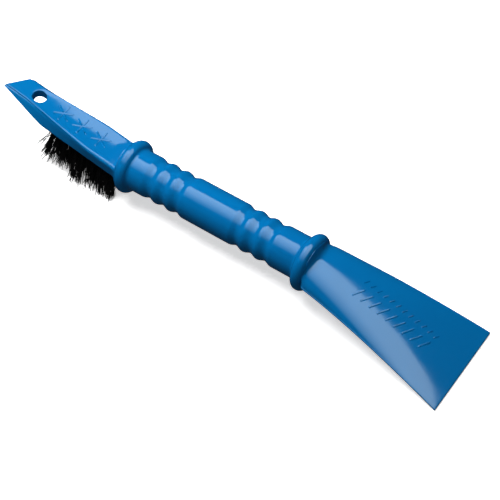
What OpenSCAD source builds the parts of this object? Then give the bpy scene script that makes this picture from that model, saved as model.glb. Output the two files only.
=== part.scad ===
// Windshield ice scraper: one moulded plastic body with a scraping blade at one
// end and a brush head with an angled chisel tip at the other. Tufts of black
// filament sit in blind holes under the brush head, each folded over a steel
// anchor. The tool lies on its tuft tips and its blade edge, at Z = 0, with the
// blade towards +X. The origin is under the middle of its length and width.

/* [Grip] */
// Diameter of the round grip
grip_d = 30; // [26:0.5:33]
// Height of the grip's axis over the surface that the tool lies on
axis_z = 27.8; // [27:0.1:30]
// Distance between the middles of the two guard rings
ring_span = 145; // [135:1:160]
// Diameter of the guard ring beside the brush head
head_ring_d = 38.8; // [37:0.1:42]
// Diameter of the guard ring beside the blade
blade_ring_d = 40.4; // [38:0.1:43]
// Width of the round crest of a guard ring
ring_w = 9; // [7:0.5:10]
// Radius of the fillet at the foot of a guard ring
ring_fillet = 2.5; // [1.5:0.5:3]
// Depth of a finger groove
groove_depth = 1.6; // [0.6:0.1:2.2]
// Distance from one finger groove to the next
groove_pitch = 11.4; // [9:0.1:12]
// Distance from the head's ring to the first groove of its group
head_groove_gap = 22; // [18:1:26]
// Distance from the blade's ring to the first groove of its group
blade_groove_gap = 28; // [24:1:32]
// Diameter of the sealed gas channel that hollows the grip
channel_d = 20; // [10:1:22]

/* [Blade] */
// Distance from the middle of the grip to the blade's edge
blade_reach = 189; // [170:1:200]
// Width of the blade at its edge
blade_w = 70; // [60:1:76]
// Width of the blade where it leaves the ring
blade_root_w = 39.8; // [38:0.2:42]
// Thickness of the blade at its edge
edge_t = 1.6; // [1.2:0.1:2.4]
// Height of the blade's crown over its sides beside the ring
crown_top = 11; // [6:0.5:12]
// Depth of the blade's belly under its sides beside the ring
crown_belly = 8; // [4:0.5:9]

/* [Brush head] */
// Length of the head along its top face, from the ring to the tip's long corner
head_l = 98; // [94:0.5:102]
// How much shorter the tip's other corner is
tip_skew = 10; // [0:0.5:14]
// Upward pitch of the head, in degrees
head_pitch = 12.3; // [8:0.1:14]
// Width of the head's top face beside the ring
head_w = 26.6; // [24:0.2:28]
// Width of the head's top face at the tip
tip_w = 15; // [12:0.5:18]
// Width of the head's underside
base_w = 27; // [25:0.5:30]
// Thickness of the head
head_t = 9.5; // [9:0.1:11]
// Distance from the ring to the bevel that thins the tip from below
bevel_at = 58.6; // [58:0.2:64]
// Angle of that bevel, in degrees
bevel_angle = 11.3; // [9:0.1:11.6]
// Diameter of the hanging hole
hang_d = 10; // [8:0.5:11]
// Distance from the ring to the hanging hole
hang_at = 71.8; // [70:0.2:75]

/* [Tufts] */
// Rows of tufts across the head
rows = 4; // [2:2:4]
// Tufts along one row
columns = 11; // [8:1:11]
// Distance between rows
row_pitch = 5.4; // [4.8:0.1:5.6]
// Distance between the tufts of a row
column_pitch = 5; // [4.6:0.1:5.1]
// Distance from the ring to the nearest tuft, along the head
first_tuft = 4.8; // [4:0.2:5.4]
// Diameter of a drilled tuft hole
tuft_hole_d = 3.6; // [3:0.1:3.8]
// Depth of a drilled tuft hole
tuft_hole_depth = 6.5; // [5:0.5:7]
// Free length of the filaments
filament_l = 29.5; // [24:0.5:31]
// Diameter of a tuft where it is trimmed
tuft_tip_d = 4.9; // [4.2:0.1:5]

/* [Hidden] */
// Gap around a tuft in its hole
tuft_gap = 0.1;
// Anchor plate: across the hole, along the hole, and thick
anchor_size = [3.2, 1.6, 0.4];
// Distance from the blind end of a hole to its anchor
anchor_inset = 0.9;
// Lean of the tufts in degrees: outwards per mm from the middle, and at both ends of a row
lean_per_mm = 0.8;
lean_ring_end = 0;
lean_tip_end = -9;

// Powers of the share of the blade's length by which it widens, bends down and thins
widen_power = 1.08;
drop_power = 1.49;
crown_power = 1.3;
belly_power = 1.4;
// Profile of the crown across the blade: round beside the ring, flat-topped at the edge
bulge_powers = [2.2, 5];
bulge_shoulder = 0.62;
// Height of the blade's side edges over the grip's axis beside the ring
side_start_z = -1;
blade_fillet = 4;

// Distance from the head's ring to the start of its top face
head_gap = 4;
// Height of that start over the grip's axis
head_top_z = 6.8;
// Radius between the top face and the side walls, beside the ring and at the tip
top_rounds = [2.4, 1];
head_fillet = 5;
// How far inside the crests of their rings the round necks of blade and head meet them
blade_neck_inset = 3;
head_neck_inset = 2.5;

grip_r = grip_d / 2;
ring_x = ring_span / 2;
crest_r = ring_w / 2;
// Plane of the flat end of each ring, where the head and the blade start
face_x = ring_x + crest_r;
head_x = -(face_x + head_gap);
pitch_slope = tan(head_pitch);
head_drop = head_t / cos(head_pitch);
// The top face narrows between these distances from the head's start, towards the tip
taper = [22, 77];
taper_softness = 0.05;

// The tip's long corner under the bevel, which reaches furthest along the tool
tip_t = head_t - (head_l - bevel_at) * tan(bevel_angle);
tip_flare = (base_w - tip_w) / 2 * tip_t / head_t;
tip_reach = -head_x + (head_l + tip_flare * tip_skew / tip_w) * cos(head_pitch) + tip_t * sin(head_pitch);
middle_x = (tip_reach - blade_reach) / 2;

FINE = 72;
tuft_sides = 32;
// How far a cut runs past the surface that it opens
over = 3;

function tuft_name(row, column) = str("tuft_", row, "_", column < 10 ? "0" : "", column);
function anchor_name(row) = str("anchors_row_", row);

function mix(a, b, k) = a + (b - a) * k;
function clamp01(k) = min(1, max(0, k));
function smooth(k) = clamp01(k) * clamp01(k) * (3 - 2 * clamp01(k));
// A straight ramp from 0 to 1 with soft ends
function ramp(k, soft) = (norm([k, soft]) - norm([k - 1, soft]) + 1) / 2;
function along(a, b, steps) = [for (i = [0:steps]) mix(a, b, i / steps)];
function sum(list, i = 0) = i == len(list) - 1 ? list[i] : list[i] + sum(list, i + 1);
function mean(list) = sum(list) / len(list);
function after_first(list) = [for (i = [1:len(list) - 1]) list[i]];
function reversed(list) = [for (i = [len(list) - 1:-1:0]) list[i]];

// ---- Grip: one turned profile of points [radius, x] ----

// Fillet of a ring's foot: the fillet's centre lies this far from the ring's
function foot_dx(r) = sqrt(pow(crest_r + ring_fillet, 2) - pow(grip_r + ring_fillet - (r - crest_r), 2));
function foot_angle(r) = asin((grip_r + ring_fillet - (r - crest_r)) / (crest_r + ring_fillet));

// One side of a ring from its foot on the grip up to its crest; side is -1 or 1
function ring_side(x, r, side) = concat(
    [for (a = along(-90, -180 + foot_angle(r), 4))
        [grip_r + ring_fillet * (1 + sin(a)), x + side * (foot_dx(r) + ring_fillet * cos(a))]],
    [for (a = after_first(along(foot_angle(r), 90, 6)))
        [r - crest_r + crest_r * sin(a), x + side * crest_r * cos(a)]]
);
// The outer side of a ring, from its crest to the flat end of the turned core
function ring_end(x, r, side) = concat(
    [for (a = along(75, 0, 5)) [r - crest_r + crest_r * sin(a), x + side * crest_r * cos(a)]],
    [[0, x + side * crest_r]]
);

// A group of three grooves between crests, as a wave below the grip's surface
groove_steps = 24;
three_turns = 1080;
function groove_wave(middle) = [for (i = [1:groove_steps - 1])
    let (t = i / groove_steps)
    [grip_r - groove_depth * (1 - cos(three_turns * t)) / 2, middle + (t - 0.5) * 3 * groove_pitch]];

function grip_profile() = concat(
    reversed(ring_end(-ring_x, head_ring_d / 2, -1)),
    reversed(ring_side(-ring_x, head_ring_d / 2, 1)),
    groove_wave(-ring_x + head_groove_gap + groove_pitch),
    groove_wave(ring_x - blade_groove_gap - groove_pitch),
    ring_side(ring_x, blade_ring_d / 2, -1),
    ring_end(ring_x, blade_ring_d / 2, 1)
);

module grip() {
    rotate([0, 90, 0])
        rotate_extrude($fn = FINE)
            polygon(grip_profile());
}

module gas_channel() {
    straight = ring_span - 2 * head_groove_gap + channel_d;
    rotate([0, 90, 0])
        cylinder(h = straight, d = channel_d, center = true, $fn = FINE);
    for (side = [-1, 1])
        translate([side * straight / 2, 0, 0])
            sphere(d = channel_d, $fn = FINE);
}

// ---- Lofts: sections [y, z] of equal length at a list of x ----

// Both ends close as a fan round their middle, so no triangle there is flat
module loft(stations, sections) {
    n = len(sections[0]);
    last = len(stations) - 1;
    rings = [for (i = [0:last], p = sections[i]) [stations[i], p[0], p[1]]];
    middles = [for (i = [0, last]) [stations[i], mean(sections[i])[0], mean(sections[i])[1]]];
    sides = [for (i = [0:last - 1], j = [0:n - 1])
        let (a = i * n + j, b = i * n + (j + 1) % n)
        each [[a, b, b + n], [a, b + n, a + n]]];
    first_end = [for (j = [0:n - 1]) [(j + 1) % n, j, len(rings)]];
    last_end = [for (j = [0:n - 1]) [last * n + j, last * n + (j + 1) % n, len(rings) + 1]];
    polyhedron(concat(rings, middles), concat(sides, first_end, last_end));
}

// How far a section has turned into the round neck, d past the ring's flat end
function neck_share(d, fillet) = d >= fillet ? 0 : d <= 0 ? 1 : 1 - sqrt(1 - pow(1 - d / fillet, 2));
function towards_circle(p, r, share) = mix(p, p * r / norm(p), share);

// ---- Blade ----

blade_top_steps = 16;
blade_steps = 17;
// Steps through the fillet between a ring and the blade or the head
fillet_steps = 4;
function blade_share(x) = clamp01((x - face_x) / (blade_reach - face_x));
function blade_half(x) = mix(blade_root_w, blade_w, pow(blade_share(x), widen_power)) / 2;
// Height of the blade's side edges: level at the ring, then bending down
function blade_side_z(x) = mix(side_start_z, edge_t / 2 - axis_z, pow(blade_share(x), drop_power));
function bulge_power(x) = mix(bulge_powers[0], bulge_powers[1], blade_share(x));
function blade_bulge(v, x) = pow(1 - pow(abs(v), bulge_power(x)), bulge_shoulder);
function blade_rise(x) = crown_top * pow(1 - blade_share(x), crown_power);
function blade_belly(x) = crown_belly * pow(1 - blade_share(x), belly_power);

function blade_section(x) = let (
    half = blade_half(x),
    z = blade_side_z(x),
    share = neck_share(x - face_x, blade_fillet),
    vs = [for (a = along(180, 0, blade_top_steps)) cos(a)],
    top = [for (v = vs) [v * half, z + edge_t / 2 + blade_rise(x) * blade_bulge(v, x)]],
    belly = [for (v = reversed(vs)) [v * half, z - edge_t / 2 - blade_belly(x) * blade_bulge(v, x)]]
) [for (p = concat(top, belly)) towards_circle(p, blade_ring_d / 2 - blade_neck_inset, share)];

module blade() {
    stations = concat(
        [ring_x],
        along(face_x, face_x + blade_fillet, fillet_steps),
        along(face_x + 2.5 * blade_fillet, blade_reach, blade_steps)
    );
    loft(stations, [for (x = stations) blade_section(x)]);
}

// ---- Brush head: the loft's sections stand across the grip's axis ----

head_steps = 17;
// Length of blank past the long corner, for the cut of the tip's end
tip_spare = 6;
function head_share(x) = clamp01((head_x - x) / (head_l * cos(head_pitch)));
function head_top(x) = head_top_z + (head_x - x) * pitch_slope;
function head_half(x) = let (k = (head_x - x - taper[0]) / (taper[1] - taper[0]))
    mix(head_w, tip_w, ramp(k, taper_softness)) / 2;
// Radius between the top face and the side walls: it shrinks towards the tip
function top_round(x) = mix(top_rounds[0], top_rounds[1], smooth(head_share(x) * 1.6));

function head_side(x) = let (half = head_half(x), r = top_round(x)) concat(
    [[base_w / 2, -head_drop], [mix(half, base_w / 2, r / head_drop), -r]],
    [for (a = along(22.5, 90, 3)) [half - r + r * cos(a), -r + r * sin(a)]]
);
function head_section(x) = let (
    side = head_side(x),
    top_half = head_half(x) - top_round(x),
    share = neck_share(-face_x - x, head_fillet),
    outline = concat(
        reversed(side),
        [for (k = [0.6, 0.2, -0.2, -0.6]) [k * base_w / 2, -head_drop]],
        [for (p = side) [-p[0], p[1]]],
        [for (k = [-0.6, -0.2, 0.2, 0.6]) [k * top_half, 0]]
    )
) [for (p = outline) towards_circle(p + [0, head_top(x)], head_ring_d / 2 - head_neck_inset, share)];

module head_blank() {
    stations = concat(
        along(head_x - head_l * cos(head_pitch) - tip_spare, -face_x - head_fillet, head_steps),
        along(-face_x - head_fillet + 1, -face_x, fillet_steps),
        [-ring_x]
    );
    loft(stations, [for (x = stations) head_section(x)]);
}

// The head's own frame: X along its top face, Z out of that face
module in_head() {
    translate([head_x, 0, head_top_z])
        rotate([0, head_pitch, 0])
            children();
}

// The two cuts that make the chisel tip: its slanted end, and the bevel under it
module chisel_cuts() {
    cut = 3 * head_l;
    in_head() {
        translate([-head_l + tip_skew / 2, 0, 0])
            rotate([0, 0, -atan(tip_skew / tip_w)])
                translate([-cut, -cut / 2, -cut / 2])
                    cube(cut);
        translate([-bevel_at, 0, -head_t])
            rotate([0, bevel_angle, 0])
                translate([-cut, -cut / 2, -cut])
                    cube(cut);
    }
}

// The hole stands across the grip's axis, as the mould opens
module hang_hole() {
    x = head_x - hang_at;
    translate([x, 0, head_top(x) - 2 * head_t])
        cylinder(h = 3 * head_t, d = hang_d, $fn = FINE);
}

// ---- Tufts ----

function tuft_y(row) = (row - (rows + 1) / 2) * row_pitch;
function tuft_x(column) = head_x - (first_tuft + (column - 1) * column_pitch) * cos(head_pitch);
function tuft_z(column) = head_top(tuft_x(column)) - head_drop;
function tuft_lean_y(row) = tuft_y(row) * lean_per_mm;
function tuft_lean_x(column) = mix(lean_ring_end, lean_tip_end, (column - 1) / (columns - 1));
// Free length, less where the surface under the tool stops a filament
function tuft_l(row, column) = let (
    lean = norm([tuft_lean_y(row), tuft_lean_x(column)]),
    room = axis_z + tuft_z(column) - tuft_tip_d / 2 * sin(lean)
) min(filament_l, room / cos(lean));

// Stands the children at a tuft's hole, with -Z out of the hole along the tuft
module at_tuft(row, column) {
    translate([tuft_x(column), tuft_y(row), tuft_z(column)])
        rotate([tuft_lean_y(row), -tuft_lean_x(column), 0])
            children();
}

module anchor_plate(extra = 0) {
    translate([0, 0, tuft_hole_depth - anchor_inset - anchor_size[1] / 2])
        cube([anchor_size[2], anchor_size[0] + extra, anchor_size[1]], center = true);
}

module tuft(row, column) {
    root_d = tuft_hole_d - 2 * tuft_gap;
    free_l = tuft_l(row, column);
    color([0.02, 0.02, 0.022])
        translate([middle_x, 0, axis_z])
            at_tuft(row, column)
                difference() {
                    union() {
                        cylinder(h = tuft_hole_depth, d = root_d, $fn = tuft_sides);
                        translate([0, 0, -free_l])
                            cylinder(h = free_l, d1 = tuft_tip_d, d2 = root_d, $fn = tuft_sides);
                    }
                    anchor_plate(extra = 2);
                }
}

module anchors(row) {
    color([0.7, 0.71, 0.72])
        translate([middle_x, 0, axis_z])
            for (column = [1:columns])
                at_tuft(row, column)
                    anchor_plate();
}

// ---- Body: the single moulding ----

module body() {
    color([0, 0.44, 0.72])
        translate([middle_x, 0, axis_z])
            difference() {
                union() {
                    grip();
                    blade();
                    difference() {
                        head_blank();
                        chisel_cuts();
                    }
                }
                gas_channel();
                hang_hole();
                for (row = [1:rows], column = [1:columns])
                    at_tuft(row, column)
                        translate([0, 0, -over])
                            cylinder(h = tuft_hole_depth + over, d = tuft_hole_d, $fn = tuft_sides);
            }
}

body();
for (row = [1:rows], column = [1:columns])
    tuft(row, column);
for (row = [1:rows])
    anchors(row);
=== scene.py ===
import math
import random

import bmesh
import bpy
import numpy as np
from mathutils import Matrix, Vector


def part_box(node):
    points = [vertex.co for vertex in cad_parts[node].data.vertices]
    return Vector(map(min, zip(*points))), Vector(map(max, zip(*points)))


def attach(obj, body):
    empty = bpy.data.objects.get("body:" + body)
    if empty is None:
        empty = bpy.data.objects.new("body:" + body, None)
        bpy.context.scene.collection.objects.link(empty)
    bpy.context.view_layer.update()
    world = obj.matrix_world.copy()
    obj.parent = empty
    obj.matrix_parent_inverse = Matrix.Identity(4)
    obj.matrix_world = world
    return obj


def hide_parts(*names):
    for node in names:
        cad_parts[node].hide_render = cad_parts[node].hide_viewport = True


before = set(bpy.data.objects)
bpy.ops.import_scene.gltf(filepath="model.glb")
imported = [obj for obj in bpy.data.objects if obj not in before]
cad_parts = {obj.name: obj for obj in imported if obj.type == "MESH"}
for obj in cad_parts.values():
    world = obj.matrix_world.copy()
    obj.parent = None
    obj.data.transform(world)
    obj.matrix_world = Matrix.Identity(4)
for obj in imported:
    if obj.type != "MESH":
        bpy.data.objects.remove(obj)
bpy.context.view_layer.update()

# Windshield ice scraper. The moulding is one skin through a row of sections from the
# chisel tip to the blade's edge, and each tuft is a bunch of single filaments.
# Lengths are in metres. In the moulding's own frame X = 0 is in the middle of the grip
# and Z = 0 on its axis; to_row moves its points into the CAD model's frame.
MM = 0.001

body_low, body_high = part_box("body")
BLADE_W = body_high.y - body_low.y

# Grip and guard rings
GRIP_R = 15 * MM
AXIS_Z = 27.8 * MM
RING_X = 72.5 * MM
HEAD_RING_R = 19.4 * MM
BLADE_RING_R = 20.2 * MM
CREST_R = 4.5 * MM
RING_FILLET = 2.5 * MM
GROOVE_DEPTH = 1.6 * MM
GROOVE_PITCH = 11.4 * MM
HEAD_GROOVES_X = -RING_X + 22 * MM + GROOVE_PITCH
BLADE_GROOVES_X = RING_X - 28 * MM - GROOVE_PITCH
FACE_X = RING_X + CREST_R

# Blade
BLADE_REACH = 189 * MM
BLADE_ROOT_W = 39.8 * MM
EDGE_T = 1.6 * MM
CROWN_TOP = 11 * MM
CROWN_BELLY = 8 * MM
BLADE_FILLET = 4 * MM
SIDE_START_Z = -1.0 * MM
BLADE_NECK_R = BLADE_RING_R - 3 * MM
# Powers of the share of its length by which the blade widens, bends down and thins
WIDEN_POWER = 1.08
DROP_POWER = 1.49
CROWN_POWER = 1.3
BELLY_POWER = 1.4
# Profile of the crown across the blade, beside the ring and towards the edge
BULGE_POWERS = (2.2, 5)
SHOULDER_POWERS = (0.62, 0.85)
# Width of the rounded rim along the blade's sides
SIDE_RIM = 0.6 * MM
# Rounding of the blade's edge: its depth, how far the sides step in and what stays of the height
EDGE_ROUND = 0.5 * MM
EDGE_INSET = 0.25 * MM
EDGE_SQUEEZE = 0.45

# Brush head
HEAD_X = -(FACE_X + 4 * MM)
HEAD_TOP_Z = 6.8 * MM
PITCH = math.radians(12.3)
HEAD_L = 98 * MM
TIP_SKEW = 10 * MM
HEAD_W = 26.6 * MM
TIP_W = 15 * MM
BASE_W = 27 * MM
HEAD_T = 9.5 * MM
BEVEL_AT = 58.6 * MM
BEVEL = math.radians(11.3)
# The top face narrows between these distances from the head's start
TAPER = (22 * MM, 77 * MM)
TAPER_SOFTNESS = 0.05
HEAD_FILLET = 5 * MM
HANG_R = 5 * MM
HANG_RIM = 0.5 * MM
HANG_X = HEAD_X - 71.8 * MM
TUFT_HOLE_DEPTH = 6.5 * MM
HEAD_NECK_R = HEAD_RING_R - 2.5 * MM
# Radius between the top face and the walls, beside the ring and at the tip
TOP_ROUNDS = (2.4 * MM, 1.0 * MM)
LOW_ROUND = 0.8 * MM
# Largest share of the head's thickness that an upper and a lower corner may take
TOP_SHARE = 0.45
LOW_SHARE = 0.35
# Rounding of the tip's end, as for the blade's edge
TIP_ROUND = 0.5 * MM
TIP_INSET = 0.3 * MM
TIP_SQUEEZE = 0.5
# Depth of the sink mark that the thick head leaves in its top face
SINK = 0.45 * MM
# Middle of the tip's slanted end, and the line where the bevel meets the underside
TIP_MID_X = HEAD_X - (HEAD_L - TIP_SKEW / 2) * math.cos(PITCH)
RIDGE_X = HEAD_X - BEVEL_AT * math.cos(PITCH) - HEAD_T * math.sin(PITCH)
RIDGE_Z = HEAD_TOP_Z + BEVEL_AT * math.sin(PITCH) - HEAD_T * math.cos(PITCH)
# The sections lie along the tip's slant up to the first distance from the tip, and
# square to the tool from there on after the second
SLANT_KEPT = 34 * MM
SLANT_FADE = 24 * MM

MIDDLE_X = body_high.x - BLADE_REACH


def mix(a, b, k):
    return a + (b - a) * k


def clamp01(k):
    return min(1.0, max(0.0, k))


def smooth(k):
    k = clamp01(k)
    return k * k * (3 - 2 * k)


def to_row(point):
    return Vector((point[0] + MIDDLE_X, point[1], point[2] + AXIS_Z))


# ---------------------------------------------------------------- section layout
# Every section has the same points in the same order, clockwise seen from the
# blade: top, one side with its two rounded corners, underside, other side.
TOP_POINTS = 44
CORNER_POINTS = 8
WALL_POINTS = 8
SIDE_POINTS = 2 * CORNER_POINTS + WALL_POINTS
NECK_STEPS = 12


def spread(count):
    """Fractions from 0 to 1, closer together near both ends."""
    return [(1 - math.cos(math.pi * i / (count - 1))) / 2 for i in range(count)]


def arc(cy, cz, r, start, end, count):
    angles = [math.radians(mix(start, end, i / (count - 1))) for i in range(count)]
    return [(cy + r * math.cos(a), cz + r * math.sin(a)) for a in angles]


def line(a, b, count):
    """Points between a and b, without either of them."""
    return [
        (mix(a[0], b[0], (i + 1) / (count + 1)), mix(a[1], b[1], (i + 1) / (count + 1)))
        for i in range(count)
    ]


def mirrored(points):
    return [(-y, z) for y, z in reversed(points)]


# ---------------------------------------------------------------- brush head
def head_share(x):
    return clamp01((HEAD_X - x) / (HEAD_L * math.cos(PITCH)))


def head_top(x):
    return HEAD_TOP_Z + (HEAD_X - x) * math.tan(PITCH)


def head_low(x):
    """Height of the head's underside, with the bevel that thins the tip."""
    underside = head_top(x) - HEAD_T / math.cos(PITCH)
    return max(underside, RIDGE_Z + (RIDGE_X - x) * math.tan(PITCH + BEVEL))


def head_half(x):
    k = (HEAD_X - x - TAPER[0]) / (TAPER[1] - TAPER[0])
    ramp = (math.hypot(k, TAPER_SOFTNESS) - math.hypot(k - 1, TAPER_SOFTNESS) + 1) / 2
    return mix(HEAD_W, TIP_W, ramp) / 2


def head_half_at(x, depth):
    """Half width at a depth under the top face, where the walls lean out to the base."""
    return mix(head_half(x), BASE_W / 2, depth / (HEAD_T / math.cos(PITCH)))


def top_round(x):
    return mix(*TOP_ROUNDS, smooth(head_share(x) * 1.6))


def head_sink(x, y):
    """Depth of the sink mark: a shallow trough from just before the hanging hole to the ring."""
    along = smooth((x - HANG_X + 6 * MM) / (9 * MM)) * smooth((-FACE_X - 6 * MM - x) / (8 * MM))
    return SINK * along * max(0.0, 1 - (y / (head_half(x) - top_round(x))) ** 2)


def head_side(x, inset):
    """One side of the section at x as (y, depth) from the top face down: corner, wall, corner."""
    thickness = head_top(x) - head_low(x)
    top_r = min(top_round(x), thickness * TOP_SHARE)
    low_r = min(LOW_ROUND, thickness * LOW_SHARE)
    half = head_half(x) - inset
    low_half = head_half_at(x, thickness) - inset
    wall_top = (mix(half, low_half, top_r / thickness), -top_r)
    side = arc(half - top_r, -top_r, top_r, 90, 0, CORNER_POINTS)
    side += line(wall_top, (low_half, low_r - thickness), WALL_POINTS)
    side += arc(low_half - low_r, low_r - thickness, low_r, 0, -90, CORNER_POINTS)
    return [(y, -z) for y, z in side]


def rounding_at(depth, radius):
    """Share of the full section at a depth behind an end that is rounded with a radius."""
    return math.sqrt(max(0.0, 1 - (1 - clamp01(depth / radius)) ** 2))


def head_section(q):
    """The section at a distance q along X from the tip's end, slanted like that end."""
    slant = TIP_SKEW / TIP_W * math.cos(PITCH) * (1 - smooth((q - SLANT_KEPT) / SLANT_FADE))
    middle = TIP_MID_X + q
    rounding = rounding_at(q, TIP_ROUND)
    inset = TIP_INSET * (1 - rounding)
    sides = []
    for sign in (-1, 1):
        x_edge = middle + slant * sign * head_half(middle)
        sides.append([(sign * y, depth) for y, depth in head_side(x_edge, inset)])
    near, far = sides
    top = [(mix(near[0][0], far[0][0], t), 0.0) for t in spread(TOP_POINTS)]
    section = []
    for y, depth in top[1:-1] + far:
        x = middle + slant * y
        section.append((x, y, head_top(x) - depth - (head_sink(x, y) if depth == 0 else 0)))
    for t in spread(TOP_POINTS)[1:-1]:
        y = mix(far[-1][0], near[-1][0], t)
        x = middle + slant * y
        section.append((x, y, head_low(x)))
    for y, depth in reversed(near):
        x = middle + slant * y
        section.append((x, y, head_top(x) - depth))
    squeeze = mix(TIP_SQUEEZE, 1, rounding)
    if squeeze < 1:
        section = [(x, y, mix((head_top(x) + head_low(x)) / 2, z, squeeze)) for x, y, z in section]
    return section


def neck(points, radius, share):
    """Turns a share of a section into a circle round the grip's axis."""
    out = []
    for x, y, z in points:
        grow = radius / math.hypot(y, z)
        out.append((x, mix(y, y * grow, share), mix(z, z * grow, share)))
    return out


def head_sections():
    """Sections from the tip to the ring, close together at the tip's rounded end and the bevel."""
    ridge = RIDGE_X - TIP_MID_X
    fillet_start = -FACE_X - HEAD_FILLET - TIP_MID_X
    stations = [q * MM for q in (0, 0.04, 0.12, 0.25, 0.5, 1.2, 2.5)]
    stations += list(np.linspace(4 * MM, ridge - 1 * MM, 30))
    stations += [ridge - 0.4 * MM, ridge, ridge + 0.4 * MM]
    stations += list(np.linspace(ridge + 1 * MM, fillet_start, 50))
    sections = [head_section(q) for q in stations]
    for i in range(1, NECK_STEPS + 1):
        a = math.pi / 2 * i / NECK_STEPS
        q = fillet_start + HEAD_FILLET * math.sin(a)
        sections.append(neck(head_section(q), HEAD_NECK_R, 1 - math.cos(a)))
    return sections


# ---------------------------------------------------------------- blade
def blade_share(x):
    return clamp01((x - FACE_X) / (BLADE_REACH - FACE_X))


def blade_half(x):
    return mix(BLADE_ROOT_W, BLADE_W, blade_share(x) ** WIDEN_POWER) / 2


def blade_side_z(x):
    return mix(SIDE_START_Z, EDGE_T / 2 - AXIS_Z, blade_share(x) ** DROP_POWER)


def blade_bulge(x, v):
    """The crown's profile at a share v of the half width. Its shoulders fade towards the edge."""
    share = blade_share(x)
    return (1 - abs(v) ** mix(*BULGE_POWERS, share)) ** mix(*SHOULDER_POWERS, smooth(share * 2))


def blade_top(x, v):
    crown = CROWN_TOP * (1 - blade_share(x)) ** CROWN_POWER
    return blade_side_z(x) + EDGE_T / 2 + crown * blade_bulge(x, v)


def blade_belly(x, v):
    belly = CROWN_BELLY * (1 - blade_share(x)) ** BELLY_POWER
    return blade_side_z(x) - EDGE_T / 2 - belly * blade_bulge(x, v)


def blade_section(x, inset, squeeze):
    """Top, rounded side, underside and other side. The sides take in the four corner points."""
    half = blade_half(x) - inset - SIDE_RIM
    z_side = blade_side_z(x)
    shares = [mix(-1, 1, t) for t in spread(TOP_POINTS)]
    top = [(v * half, blade_top(x, v)) for v in shares]
    low = [(v * half, blade_belly(x, v)) for v in reversed(shares)]
    turns = [math.radians(mix(90, -90, (i + 1) / (SIDE_POINTS + 1))) for i in range(SIDE_POINTS)]
    side = [(half + SIDE_RIM * math.cos(a), z_side + EDGE_T / 2 * math.sin(a)) for a in turns]
    outline = top[1:-1] + side + low[1:-1] + mirrored(side)
    return [(x, y, z_side + (z - z_side) * squeeze) for y, z in outline]


def blade_sections():
    sections = []
    for i in range(NECK_STEPS):
        a = math.pi / 2 * i / NECK_STEPS
        x = FACE_X + BLADE_FILLET * (1 - math.cos(a))
        sections.append(neck(blade_section(x, 0, 1), BLADE_NECK_R, 1 - math.sin(a)))
    for x in np.linspace(FACE_X + BLADE_FILLET, BLADE_REACH - 1 * MM, 60):
        sections.append(blade_section(x, 0, 1))
    for share in (1, 0.6, 0.3, 0.1, 0):
        back = share * EDGE_ROUND
        rounding = rounding_at(back, EDGE_ROUND)
        inset = EDGE_INSET * (1 - rounding)
        sections.append(blade_section(BLADE_REACH - back, inset, mix(EDGE_SQUEEZE, 1, rounding)))
    return sections


# ---------------------------------------------------------------- grip
def ring_foot(radius):
    """Where a ring's foot fillet has its centre: height over the crest's centre, and distance."""
    rise = GRIP_R + RING_FILLET - (radius - CREST_R)
    return rise, math.sqrt((CREST_R + RING_FILLET) ** 2 - rise**2)


def ring_height(x, middle, radius):
    """Radius of a guard ring's profile at x, or 0 away from the ring."""
    off = abs(x - middle)
    _, foot = ring_foot(radius)
    if off >= foot:
        return 0.0
    touch = foot * CREST_R / (CREST_R + RING_FILLET)
    if off <= touch:
        return radius - CREST_R + math.sqrt(CREST_R**2 - off**2)
    return GRIP_R + RING_FILLET - math.sqrt(RING_FILLET**2 - (foot - off) ** 2)


def groove_at(x, middle):
    """Depth of a group of three finger grooves at x, a wave under the grip's surface."""
    t = (x - middle) / (3 * GROOVE_PITCH) + 0.5
    if t <= 0 or t >= 1:
        return 0.0
    return GROOVE_DEPTH * (1 - math.cos(6 * math.pi * t)) / 2


def grip_radius(x):
    plain = GRIP_R - groove_at(x, HEAD_GROOVES_X) - groove_at(x, BLADE_GROOVES_X)
    return max(plain, ring_height(x, -RING_X, HEAD_RING_R), ring_height(x, RING_X, BLADE_RING_R))


def ring_stations(middle, radius):
    """x places along a ring, close together where its flanks are steep."""
    rise, foot = ring_foot(radius)
    touch = math.asin(rise / (CREST_R + RING_FILLET))
    crest = [CREST_R * math.cos(mix(touch, math.pi / 2, i / 14)) for i in range(15)]
    foot_arc = [foot - RING_FILLET * math.sin(mix(0, math.pi / 2 - touch, i / 7)) for i in range(7)]
    offsets = foot_arc + crest
    return sorted(set([middle - o for o in offsets] + [middle + o for o in offsets]))


# Steps along the grip between the rings, which start this far from a ring's middle
GRIP_STEP = 0.7 * MM
RING_CLEAR = 7 * MM
LEAST_STEP = 0.05 * MM


def grip_stations():
    """x places from neck to neck, each neck being a circle on the outer flank of its ring."""
    first = -RING_X - math.sqrt(CREST_R**2 - (HEAD_NECK_R - HEAD_RING_R + CREST_R) ** 2)
    last = RING_X + math.sqrt(CREST_R**2 - (BLADE_NECK_R - BLADE_RING_R + CREST_R) ** 2)
    places = ring_stations(-RING_X, HEAD_RING_R) + ring_stations(RING_X, BLADE_RING_R)
    places += list(np.arange(-RING_X + RING_CLEAR, RING_X - RING_CLEAR, GRIP_STEP))
    places = sorted(p for p in places if first + 2 * LEAST_STEP < p < last - 2 * LEAST_STEP)
    kept = [first]
    for p in places:
        if p - kept[-1] > LEAST_STEP:
            kept.append(p)
    return kept + [last]


def directions(section):
    """The angle of each point round the grip's axis, unwrapped so that it only falls."""
    angles = [math.atan2(z, y) for _, y, z in section]
    return np.unwrap(angles)


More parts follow.
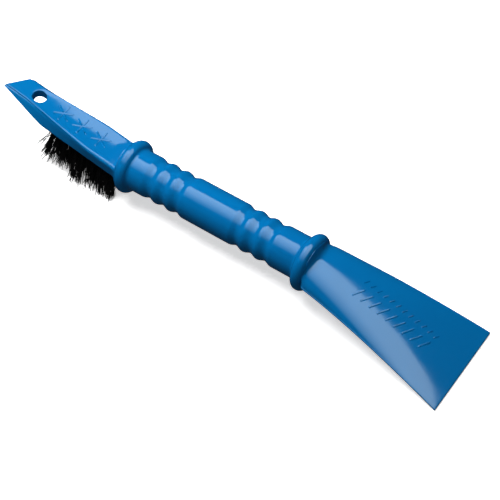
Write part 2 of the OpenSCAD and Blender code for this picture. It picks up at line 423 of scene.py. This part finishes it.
def grip_sections(head_end, blade_end):
    """Round sections whose points turn step by step from the head's places to the blade's."""
    from_head = directions(head_end)
    from_blade = directions(blade_end)
    from_blade += 2 * math.pi * round((from_head.mean() - from_blade.mean()) / (2 * math.pi))
    sections = []
    stations = grip_stations()
    for x in stations:
        share = smooth((x - stations[0]) / (stations[-1] - stations[0]))
        angles = mix(from_head, from_blade, share)
        r = grip_radius(x)
        sections.append([(x, r * math.cos(a), r * math.sin(a)) for a in angles])
    return sections


# ---------------------------------------------------------------- meshes
def new_object(name, verts, faces):
    mesh = bpy.data.meshes.new(name)
    mesh.from_pydata(verts, [], faces)
    mesh.validate()
    mesh.update()
    obj = bpy.data.objects.new(name, mesh)
    bpy.context.scene.collection.objects.link(obj)
    return obj


# Edges that turn by more than this stay crisp, in degrees
CREASE_ANGLE = 50


def smooth_by_angle(obj, degrees):
    """Smooth shading, with edges sharper than the angle kept crisp."""
    mesh = obj.data
    mesh.polygons.foreach_set("use_smooth", [True] * len(mesh.polygons))
    bm = bmesh.new()
    bm.from_mesh(mesh)
    for edge in bm.edges:
        if len(edge.link_faces) == 2:
            edge.smooth = edge.calc_face_angle(0) < math.radians(degrees)
    bm.to_mesh(mesh)
    bm.free()


def face_outward(obj):
    bm = bmesh.new()
    bm.from_mesh(obj.data)
    bmesh.ops.recalc_face_normals(bm, faces=bm.faces)
    bm.to_mesh(obj.data)
    bm.free()


def strip_cap(first, count, flip):
    """Closes a section's end with quads between its upper and its lower half."""
    top = list(range(TOP_POINTS - 2))
    side = list(range(TOP_POINTS - 2, TOP_POINTS - 2 + SIDE_POINTS))
    half = len(side) // 2
    upper_side, lower_side = side[:half], side[half:]
    low = list(range(side[-1] + 1, side[-1] + 1 + len(top)))
    other = list(range(low[-1] + 1, count))
    other_low, other_up = other[:half], other[half:]
    upper = other_up + top + upper_side
    lower = list(reversed(other_low)) + list(reversed(low)) + list(reversed(lower_side))
    quads = []
    for i in range(len(upper) - 1):
        quad = [first + upper[i], first + lower[i], first + lower[i + 1], first + upper[i + 1]]
        quads.append(quad[::-1] if flip else quad)
    return quads


def skin(name, sections):
    count = len(sections[0])
    verts = [to_row(p) for section in sections for p in section]
    faces = []
    for i in range(len(sections) - 1):
        a, b = i * count, (i + 1) * count
        for j in range(count):
            k = (j + 1) % count
            faces.append((a + j, b + j, b + k, a + k))
    faces += strip_cap(0, count, False)
    faces += strip_cap((len(sections) - 1) * count, count, True)
    obj = new_object(name, verts, faces)
    face_outward(obj)
    return obj


def lathe(name, profile, segments):
    """A closed turned solid from (radius, z) points, which start and end on the axis."""
    verts = []
    for r, z in profile[1:-1]:
        for i in range(segments):
            a = 2 * math.pi * i / segments
            verts.append((r * math.cos(a), r * math.sin(a), z))
    rings = len(profile) - 2
    faces = []
    for i in range(rings - 1):
        for j in range(segments):
            k = (j + 1) % segments
            a, b = i * segments, (i + 1) * segments
            faces.append((a + j, a + k, b + k, b + j))
    faces.append(tuple(reversed(range(segments))))
    faces.append(tuple(range((rings - 1) * segments, rings * segments)))
    return new_object(name, verts, faces)


def hang_hole_cutter():
    """The hole with a rounded rim. Its rings shear along the top face, its axis stays upright."""
    steps = 6
    profile = [(0, -2 * HEAD_T), (HANG_R, -2 * HEAD_T)]
    for i in range(steps + 1):
        a = math.pi / 2 * i / steps
        profile.append((HANG_R + HANG_RIM * (1 - math.cos(a)), -HANG_RIM + HANG_RIM * math.sin(a)))
    profile += [(HANG_R + HANG_RIM, 2 * MM), (0, 2 * MM)]
    cutter = lathe("hang_hole_cutter", profile, 96)
    place = to_row((HANG_X, 0, head_top(HANG_X)))
    for vert in cutter.data.vertices:
        vert.co.z -= vert.co.x * math.tan(PITCH)
        vert.co += place
    return cutter


def cut(obj, cutter):
    modifier = obj.modifiers.new("cut", "BOOLEAN")
    modifier.operation = "DIFFERENCE"
    modifier.solver = "EXACT"
    modifier.object = cutter
    bpy.context.view_layer.objects.active = obj
    with bpy.context.temp_override(object=obj, active_object=obj):
        bpy.ops.object.modifier_apply(modifier=modifier.name)
    bpy.data.objects.remove(cutter)


# ---------------------------------------------------------------- relief
# Height of the raised marks, and how far they reach into the surface
RELIEF_H = 0.4 * MM
RELIEF_FOOT = 0.2 * MM
# Shares of its width or length that a mark's flat top and its sloped ends take
RIDGE_TOP = 0.44
RIDGE_END = 0.3
RIDGE_STEP = 0.8 * MM
FLAKES_X = [HEAD_X - d * MM for d in (19, 35, 51)]
FLAKE_R = 7.2 * MM
FLAKE_W = 1.6 * MM
RIBS_X = 112 * MM
RIB_SLANT = math.radians(62)
# Rows of ribs: Y, how many, distance along X, length, width
SMALL_RIBS = (6.5 * MM, 12, 4.8 * MM, 4.5 * MM, 1.1 * MM)
LARGE_RIBS = (-3.5 * MM, 9, 6.2 * MM, 10 * MM, 1.8 * MM)


def head_surface(x, y):
    return head_top(x) - head_sink(x, y)


def blade_surface(x, y):
    return blade_top(x, y / blade_half(x))


def ridge(start, end, width, surface, verts, faces):
    """A low bar with sloped sides and ends, from start to end over a surface."""
    (ax, ay), (bx, by) = start, end
    reach = math.hypot(bx - ax, by - ay)
    ux, uy = (bx - ax) / reach, (by - ay) / reach
    steps = max(4, round(reach / RIDGE_STEP))
    slope = RIDGE_END * width / reach
    shares = [0.0] + [mix(slope, 1 - slope, i / steps) for i in range(steps + 1)] + [1.0]
    first = len(verts)
    for i, share in enumerate(shares):
        rise = -RELIEF_FOOT if i in (0, len(shares) - 1) else RELIEF_H
        edge = RIDGE_TOP / 2
        for off, height in ((-0.5, -RELIEF_FOOT), (-edge, rise), (edge, rise), (0.5, -RELIEF_FOOT)):
            x = mix(ax, bx, share) - uy * off * width
            y = mix(ay, by, share) + ux * off * width
            verts.append(to_row((x, y, surface(x, y) + height)))
    for i in range(len(shares) - 1):
        a, b = first + 4 * i, first + 4 * (i + 1)
        for k in range(4):
            n = (k + 1) % 4
            faces.append((a + k, a + n, b + n, b + k))
    last = first + 4 * (len(shares) - 1)
    faces.append((first + 3, first + 2, first + 1, first))
    faces.append((last, last + 1, last + 2, last + 3))


def snowflake(cx, verts, faces):
    """Three crossed bars."""
    for i in range(3):
        a = math.radians(60 * i + 30)
        dx, dy = math.cos(a) * FLAKE_R, math.sin(a) * FLAKE_R
        ridge((cx - dx, -dy), (cx + dx, dy), FLAKE_W, head_surface, verts, faces)


def rib_row(y, count, pitch, rib_l, width, verts, faces):
    for i in range(count):
        x = RIBS_X + i * pitch
        dx, dy = math.cos(RIB_SLANT) * rib_l / 2, math.sin(RIB_SLANT) * rib_l / 2
        ridge((x - dx, y - dy), (x + dx, y + dy), width, blade_surface, verts, faces)


def relief():
    """Plain raised marks where the object has its raised marks."""
    verts, faces = [], []
    for x in FLAKES_X:
        snowflake(x, verts, faces)
    rib_row(*SMALL_RIBS, verts, faces)
    rib_row(*LARGE_RIBS, verts, faces)
    obj = new_object("relief", verts, faces)
    face_outward(obj)
    return obj


def join(obj, other):
    """Adds the other object's mesh to obj."""
    bm = bmesh.new()
    bm.from_mesh(obj.data)
    bm.from_mesh(other.data)
    bm.to_mesh(obj.data)
    bm.free()
    bpy.data.objects.remove(other)


def moulding():
    """The one moulded piece: skin, hanging hole and raised marks in one mesh."""
    heads = head_sections()
    blades = blade_sections()
    grips = grip_sections(heads[-1], blades[0])
    obj = skin("moulded_body", heads + grips + blades)
    cut(obj, hang_hole_cutter())
    join(obj, relief())
    smooth_by_angle(obj, CREASE_ANGLE)
    return obj


# ---------------------------------------------------------------- filaments
FILAMENTS = 46
FILAMENT_R = 0.22 * MM
FILAMENT_RINGS = 7
FILAMENT_SIDES = 4
TUFT_R = 1.55 * MM
# A tuft's ends are the mesh points within this height of its lowest or highest one
END_BAND = 1.6 * MM
# How far inside its hole a filament starts
START_DEPTH = 1.2 * MM
# Least height of a filament's middle line over the surface that the tool lies on
FLOOR_GAP = 0.35 * MM
# Outward bend of a bunch per metre from the middle of the field
FAN = 60.0
GOLDEN_ANGLE = 2.39996
# A direction along which no filament runs, to lay out their cross-sections
ASIDE = Vector((0.31, 0.95, 0.05))


def tuft_line(node):
    """Root end and trimmed end of a CAD tuft's axis, in the CAD model's frame."""
    points = np.array([v.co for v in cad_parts[node].data.vertices])
    low_z, high_z = points[:, 2].min(), points[:, 2].max()
    trimmed = points[points[:, 2] < low_z + END_BAND]
    root = points[points[:, 2] > high_z - END_BAND]
    return Vector(root.mean(0)), Vector(trimmed.mean(0))


def filament_path(mouth, along, outward, length, splay):
    """Points of one filament that leaves along the tuft and bends outward.

    One that would pass through the surface under the tool bends further and is trimmed shorter.
    """
    bend = splay
    for _ in range(60):
        points = [mouth]
        step = length / (FILAMENT_RINGS - 1)
        for i in range(FILAMENT_RINGS - 1):
            t = (i + 0.5) / (FILAMENT_RINGS - 1)
            # the bend grows from the mouth to the free end
            heading = (along + outward * bend * (0.35 + 0.65 * t)).normalized()
            points.append(points[-1] + heading * step)
        if min(p.z for p in points) >= FLOOR_GAP:
            return points
        bend += 0.02
        length *= 0.985
    return points


def filament_mesh(points, verts, faces):
    """A thin closed tube round the points."""
    sides = FILAMENT_SIDES
    start = len(verts)
    for i, p in enumerate(points):
        ahead = (points[min(i + 1, len(points) - 1)] - points[max(i - 1, 0)]).normalized()
        across = ahead.cross(ASIDE).normalized()
        other = ahead.cross(across)
        for k in range(sides):
            a = 2 * math.pi * k / sides
            verts.append(p + (across * math.cos(a) + other * math.sin(a)) * FILAMENT_R)
    for i in range(len(points) - 1):
        for k in range(sides):
            n = (k + 1) % sides
            a, b = start + i * sides, start + (i + 1) * sides
            faces.append((a + k, a + n, b + n, b + k))
    faces.append(tuple(start + k for k in reversed(range(sides))))
    end = start + (len(points) - 1) * sides
    faces.append(tuple(end + k for k in range(sides)))


def tuft_filaments(node, field_middle, seed):
    """The bunch of filaments that stands in for one CAD tuft."""
    rng = random.Random(seed)
    root, trimmed = tuft_line(node)
    along = (trimmed - root).normalized()
    mouth = root + along * TUFT_HOLE_DEPTH
    free = (trimmed - mouth).length
    across = along.cross(Vector((0, 1, 0))).normalized()
    beside = along.cross(across)
    # bunches fan out to both sides and towards the tip, but not into the guard ring
    fan = Vector((min(0.0, mouth.x - field_middle.x), mouth.y - field_middle.y, 0)) * FAN
    # every bunch has its own length, lean and tightness, so that gaps open between bunches
    bunch_l = free * rng.uniform(0.98, 1.14)
    bunch_lean = Vector((rng.gauss(-0.1, 0.6), rng.gauss(-0.1, 0.5), 0))
    tightness = rng.uniform(0.35, 1.2)
    verts, faces = [], []
    for i in range(FILAMENTS):
        r = math.sqrt((i + 0.5) / FILAMENTS)
        a = i * GOLDEN_ANGLE + rng.uniform(-0.3, 0.3)
        offset = (across * math.cos(a) + beside * math.sin(a)) * r
        start = mouth - along * START_DEPTH + offset * TUFT_R
        outward = offset * tightness + fan + bunch_lean
        outward += Vector((rng.gauss(0, 0.3), rng.gauss(0, 0.3), 0))
        outward -= along * outward.dot(along)
        splay = 0.1 + abs(rng.gauss(0, 0.05))
        length = bunch_l * rng.uniform(0.9, 1.03) + START_DEPTH
        # a few strays stand off from their bunch
        if rng.random() < 0.07:
            splay += rng.uniform(0.1, 0.25)
        filament_mesh(filament_path(start, along, outward, length, splay), verts, faces)
    obj = new_object(node + "_filaments", verts, faces)
    obj.data.polygons.foreach_set("use_smooth", [True] * len(obj.data.polygons))
    return obj


# ---------------------------------------------------------------- materials
def new_material(name):
    material = bpy.data.materials.new(name)
    material.use_nodes = True
    nodes, links = material.node_tree.nodes, material.node_tree.links
    shader = nodes["Principled BSDF"]
    return material, nodes, links, shader


def object_coords(nodes, links, scale):
    coords = nodes.new("ShaderNodeTexCoord")
    mapping = nodes.new("ShaderNodeMapping")
    mapping.inputs["Scale"].default_value = scale
    links.new(coords.outputs["Object"], mapping.inputs["Vector"])
    return mapping.outputs["Vector"]


def noise(nodes, links, vector, scale, detail):
    node = nodes.new("ShaderNodeTexNoise")
    node.inputs["Scale"].default_value = scale
    node.inputs["Detail"].default_value = detail
    links.new(vector, node.inputs["Vector"])
    return node.outputs["Fac"]


def ramp(nodes, links, value, stops):
    node = nodes.new("ShaderNodeValToRGB")
    elements = node.color_ramp.elements
    for element, (place, colour) in zip(elements, stops):
        element.position = place
        element.color = (*colour, 1)
    links.new(value, node.inputs["Fac"])
    return node.outputs["Color"]


def bump(nodes, links, height, distance, strength, previous=None):
    node = nodes.new("ShaderNodeBump")
    node.inputs["Distance"].default_value = distance
    node.inputs["Strength"].default_value = strength
    links.new(height, node.inputs["Height"])
    if previous:
        links.new(previous, node.inputs["Normal"])
    return node.outputs["Normal"]


def blue_plastic():
    """Glossy blue, with slow waves in the moulded surface and fine marks along the tool."""
    material, nodes, links, shader = new_material("blue_plastic")
    even = object_coords(nodes, links, (1, 1, 1))
    long_marks = object_coords(nodes, links, (12, 160, 160))
    tint = noise(nodes, links, even, 28, 3)
    colour = ramp(nodes, links, tint, [(0.3, (0.0, 0.126, 0.35)), (0.7, (0.0, 0.134, 0.366))])
    links.new(colour, shader.inputs["Base Color"])
    rough = nodes.new("ShaderNodeMapRange")
    rough.inputs["To Min"].default_value = 0.04
    rough.inputs["To Max"].default_value = 0.1
    links.new(noise(nodes, links, even, 190, 4), rough.inputs["Value"])
    links.new(rough.outputs["Result"], shader.inputs["Roughness"])
    waves = bump(nodes, links, noise(nodes, links, even, 42, 1), 0.0006, 0.12)
    marks = bump(nodes, links, noise(nodes, links, long_marks, 9, 5), 0.00004, 0.25, waves)
    links.new(marks, shader.inputs["Normal"])
    shader.inputs["IOR"].default_value = 1.5
    shader.inputs["Specular IOR Level"].default_value = 0.95
    return material


def black_filament():
    """Black plastic filament, slightly uneven along its length."""
    material, nodes, links, shader = new_material("black_filament")
    along = object_coords(nodes, links, (900, 900, 60))
    shade = noise(nodes, links, along, 1.0, 2)
    colour = ramp(nodes, links, shade, [(0.35, (0.0035, 0.0035, 0.004)), (0.75, (0.012, 0.011, 0.011))])
    links.new(colour, shader.inputs["Base Color"])
    links.new(bump(nodes, links, shade, 0.00005, 0.3), shader.inputs["Normal"])
    shader.inputs["Roughness"].default_value = 0.42
    shader.inputs["Specular IOR Level"].default_value = 0.35
    return material


def anchor_steel():
    """Bright flat wire with rolling lines."""
    material, nodes, links, shader = new_material("anchor_steel")
    rolled = object_coords(nodes, links, (40, 2500, 2500))
    lines = noise(nodes, links, rolled, 1.0, 3)
    colour = ramp(nodes, links, lines, [(0.3, (0.42, 0.43, 0.44)), (0.7, (0.6, 0.61, 0.62))])
    links.new(colour, shader.inputs["Base Color"])
    links.new(bump(nodes, links, lines, 0.00002, 0.4), shader.inputs["Normal"])
    shader.inputs["Metallic"].default_value = 1.0
    shader.inputs["Roughness"].default_value = 0.32
    return material


def pale_floor():
    """Matt near-white that glows a little, so that shadows on it stay light."""
    material, nodes, links, shader = new_material("pale_floor")
    grain = noise(nodes, links, object_coords(nodes, links, (1, 1, 1)), 60, 2)
    colour = ramp(nodes, links, grain, [(0.3, (0.93, 0.93, 0.93)), (0.7, (0.95, 0.95, 0.95))])
    links.new(colour, shader.inputs["Base Color"])
    shader.inputs["Roughness"].default_value = 0.9
    shader.inputs["Specular IOR Level"].default_value = 0.0
    shader.inputs["Emission Color"].default_value = (1, 1, 1, 1)
    shader.inputs["Emission Strength"].default_value = FLOOR_GLOW
    return material


def dress(obj, material):
    obj.data.materials.clear()
    obj.data.materials.append(material)


# ---------------------------------------------------------------- stage
CAMERA_TURN = math.radians(37.3)
CAMERA_HEIGHT = math.radians(53.08)
CAMERA_ROLL = math.radians(-2.55)
CAMERA_DISTANCE = 0.913
CAMERA_AIM = (34.5 * MM, -13.6 * MM, 0.0)
CAMERA_LENS = 100.8
FLOOR_HALF = 3.0

# The softbox over the tool, which lights only the gloss: its height, and its parts along
# X, each with its far side's Y. Towards its near side it fades out.
SOFTBOX_HEIGHT = 1.0
SOFTBOX_PARTS = [(-1.2, -0.3, 0.34), (-0.3, -0.1, 0.475), (-0.1, 1.0, 0.56)]
SOFTBOX_FULL_Y = 0.1
SOFTBOX_NEAR_Y = -0.85
SOFTBOX_RADIANCE = 2.2
SOFTBOX_COLOUR = (0.82, 1.0, 1.08)
# The key light, which the gloss doesn't show
KEY_PLACE = (-0.22, 0.0, 0.72)
KEY_AIM = (-0.05, 0.0, 0.03)
KEY_SIZE = 0.55
KEY_POWER = 8.8
# The room, as the surfaces see it and as the gloss sees it
FILL_STRENGTH = 0.16
GLOSS_STRENGTH = 0.015
# Light that the floor gives off by itself
FLOOR_GLOW = 0.56


def towards_camera():
    flat = math.cos(CAMERA_HEIGHT)
    return Vector((flat * math.sin(CAMERA_TURN), -flat * math.cos(CAMERA_TURN), math.sin(CAMERA_HEIGHT)))


def make_camera():
    data = bpy.data.cameras.new("camera")
    data.lens = CAMERA_LENS
    data.sensor_width = 36.0
    camera = bpy.data.objects.new("camera", data)
    bpy.context.scene.collection.objects.link(camera)
    back = towards_camera()
    right = Vector((math.cos(CAMERA_TURN), math.sin(CAMERA_TURN), 0))
    up = back.cross(right)
    right_rolled = right * math.cos(CAMERA_ROLL) + up * math.sin(CAMERA_ROLL)
    up_rolled = up * math.cos(CAMERA_ROLL) - right * math.sin(CAMERA_ROLL)
    turn = Matrix((right_rolled, up_rolled, back)).transposed().to_4x4()
    camera.matrix_world = Matrix.Translation(to_row(CAMERA_AIM) + back * CAMERA_DISTANCE) @ turn
    bpy.context.scene.camera = camera


def make_floor(material):
    corners = ((-1, -1), (1, -1), (1, 1), (-1, 1))
    verts = [(x * FLOOR_HALF, y * FLOOR_HALF, 0) for x, y in corners]
    floor = new_object("floor", verts, [(0, 1, 2, 3)])
    dress(floor, material)
    floor.visible_glossy = False
    floor.visible_diffuse = False


def softbox():
    """The big light overhead. Its far side is the sharp line that the gloss shows."""
    for part, (low_x, high_x, far_y) in enumerate(SOFTBOX_PARTS):
        data = bpy.data.lights.new("softbox_" + str(part + 1), "AREA")
        data.shape = "RECTANGLE"
        data.size = high_x - low_x
        data.size_y = far_y - SOFTBOX_NEAR_Y
        # a sheet of this power and size has the wanted radiance
        data.energy = SOFTBOX_RADIANCE * math.pi * data.size * data.size_y
        data.color = SOFTBOX_COLOUR
        data.use_nodes = True
        nodes, links = data.node_tree.nodes, data.node_tree.links
        place = nodes.new("ShaderNodeNewGeometry")
        split = nodes.new("ShaderNodeSeparateXYZ")
        fade = nodes.new("ShaderNodeMapRange")
        fade.inputs["From Min"].default_value = SOFTBOX_NEAR_Y
        fade.inputs["From Max"].default_value = SOFTBOX_FULL_Y
        links.new(place.outputs["Position"], split.inputs["Vector"])
        links.new(split.outputs["Y"], fade.inputs["Value"])
        links.new(fade.outputs["Result"], nodes["Emission"].inputs["Strength"])
        light = bpy.data.objects.new(data.name, data)
        bpy.context.scene.collection.objects.link(light)
        light.location = ((low_x + high_x) / 2, (far_y + SOFTBOX_NEAR_Y) / 2, SOFTBOX_HEIGHT)
        light.visible_diffuse = False


def key_light():
    data = bpy.data.lights.new("key", "AREA")
    data.shape = "DISK"
    data.size = KEY_SIZE
    data.energy = KEY_POWER
    light = bpy.data.objects.new("key", data)
    bpy.context.scene.collection.objects.link(light)
    light.location = KEY_PLACE
    light.rotation_euler = (Vector(KEY_PLACE) - Vector(KEY_AIM)).to_track_quat("Z", "Y").to_euler()
    light.visible_glossy = False


def make_world():
    """A white room that fills the shadows, but that the gloss hardly shows."""
    world = bpy.data.worlds.new("studio")
    world.use_nodes = True
    nodes, links = world.node_tree.nodes, world.node_tree.links
    fill = nodes["Background"]
    fill.inputs["Color"].default_value = (1, 1, 1, 1)
    path = nodes.new("ShaderNodeLightPath")
    seen = nodes.new("ShaderNodeMapRange")
    seen.inputs["To Min"].default_value = FILL_STRENGTH
    seen.inputs["To Max"].default_value = 1.0
    links.new(path.outputs["Is Camera Ray"], seen.inputs["Value"])
    links.new(seen.outputs["Result"], fill.inputs["Strength"])
    dark = nodes.new("ShaderNodeBackground")
    dark.inputs["Color"].default_value = (1, 1, 1, 1)
    dark.inputs["Strength"].default_value = GLOSS_STRENGTH
    either = nodes.new("ShaderNodeMixShader")
    links.new(path.outputs["Is Glossy Ray"], either.inputs["Fac"])
    links.new(fill.outputs["Background"], either.inputs[1])
    links.new(dark.outputs["Background"], either.inputs[2])
    links.new(either.outputs["Shader"], nodes["World Output"].inputs["Surface"])
    bpy.context.scene.world = world
    bpy.context.scene.view_settings.view_transform = "Standard"


def make_body():
    body = moulding()
    dress(body, blue_plastic())
    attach(body, "root")
    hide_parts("body")


def make_brush():
    black = black_filament()
    tufts = sorted(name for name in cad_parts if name.startswith("tuft_"))
    lows = [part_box(name)[0] for name in tufts]
    highs = [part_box(name)[1] for name in tufts]
    field_middle = Vector([(min(p[i] for p in lows) + max(p[i] for p in highs)) / 2 for i in range(3)])
    for seed, name in enumerate(tufts):
        bunch = tuft_filaments(name, field_middle, seed)
        dress(bunch, black)
        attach(bunch, "root")
        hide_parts(name)


def dress_anchors():
    """The anchors stay as the CAD model has them, in steel."""
    steel = anchor_steel()
    for name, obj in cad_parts.items():
        if name.startswith("anchors_"):
            dress(obj, steel)


def main():
    make_camera()
    make_body()
    make_brush()
    dress_anchors()
    make_floor(pale_floor())
    make_world()
    softbox()
    key_light()


main()
